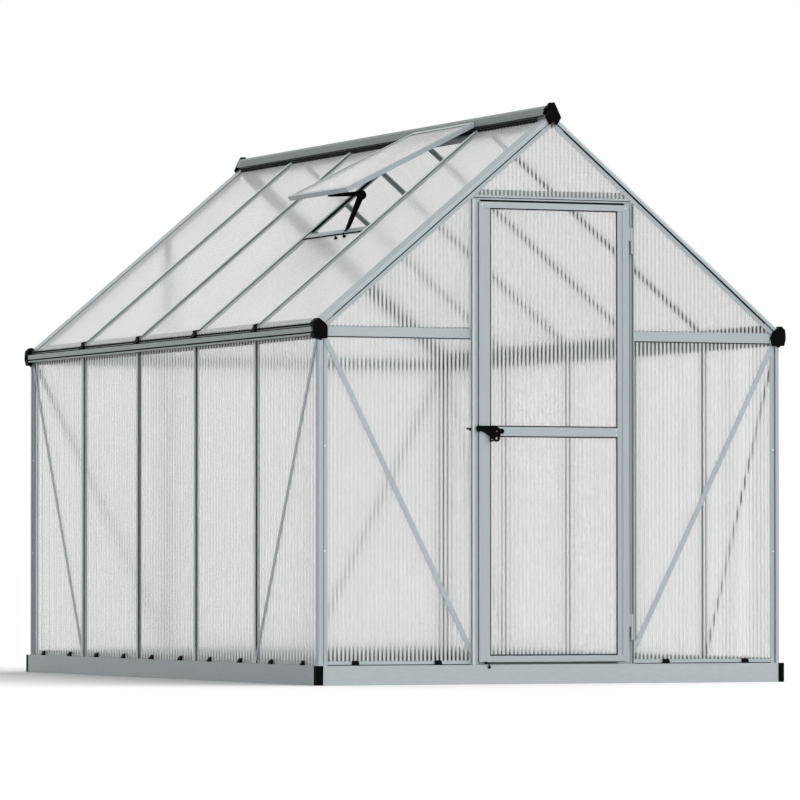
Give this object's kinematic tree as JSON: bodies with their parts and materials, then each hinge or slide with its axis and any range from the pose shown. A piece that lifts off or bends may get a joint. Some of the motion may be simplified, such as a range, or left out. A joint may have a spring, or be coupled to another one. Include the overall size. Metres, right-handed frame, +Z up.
{
  "type": "greenhouse",
  "caption": "Gable-roofed hobby greenhouse: aluminium profiles on a steel base, twin-wall polycarbonate sheets, hinged door and a propped roof vent",
  "frame": {"origin": "centre of the footprint, on the ground", "axes": "+X to the right seen from the door, +Y along the length away from the door, +Z up"},
  "size_m": [1.87, 3.0663, 2.0903],
  "materials": {
    "aluminium_profile": "satin",
    "galvanised_steel": "satin",
    "polycarbonate": "satin",
    "black_plastic": "matte"
  },
  "bodies": {
    "body": {"base_front": "galvanised_steel", "base_back": "galvanised_steel", "base_left": "galvanised_steel", "base_right": "galvanised_steel", "base_corner_covers": "black_plastic", "front_corner_posts": "aluminium_profile", "back_corner_posts": "aluminium_profile", "left_glazing_bars": "aluminium_profile", "right_glazing_bars": "aluminium_profile", "side_bottom_rails": "aluminium_profile", "end_bottom_rails": "aluminium_profile", "left_gutter": "aluminium_profile", "right_gutter": "aluminium_profile", "eave_corner_caps": "black_plastic", "ridge_beam": "aluminium_profile", "ridge_end_caps": "black_plastic", "front_rafters": "aluminium_profile", "back_rafters": "aluminium_profile", "left_roof_bars": "aluminium_profile", "right_roof_bars": "aluminium_profile", "roof_bar_feet": "black_plastic", "door_jambs": "aluminium_profile", "door_lintel": "aluminium_profile", "front_tie_rails": "aluminium_profile", "back_wall_frame": "aluminium_profile", "diagonal_braces": "aluminium_profile", "left_wall_sheets": "polycarbonate", "right_wall_sheets": "polycarbonate", "front_wall_sheets": "polycarbonate", "back_wall_sheets": "polycarbonate", "gable_sheets": "polycarbonate", "left_roof_sheets": "polycarbonate", "right_roof_sheets": "polycarbonate", "vent_cross_bar": "aluminium_profile", "vent_frame": "aluminium_profile", "vent_sheet": "polycarbonate", "vent_stay": "black_plastic", "latch_catch": "black_plastic", "jamb_hinges": "aluminium_profile", "panel_clips": "black_plastic"},
    "door": {"door_stiles": "aluminium_profile", "door_rails": "aluminium_profile", "door_sheets": "polycarbonate", "door_latch": "black_plastic", "door_hinges": "aluminium_profile"}
  },
  "joints": [
    {"name": "door_hinge", "type": "hinge", "parent": "body", "child": "door", "pos_m": [0.311, -1.522, 0.9], "axis": [0, 0, 1], "range_deg": [0, 120]}
  ]
}
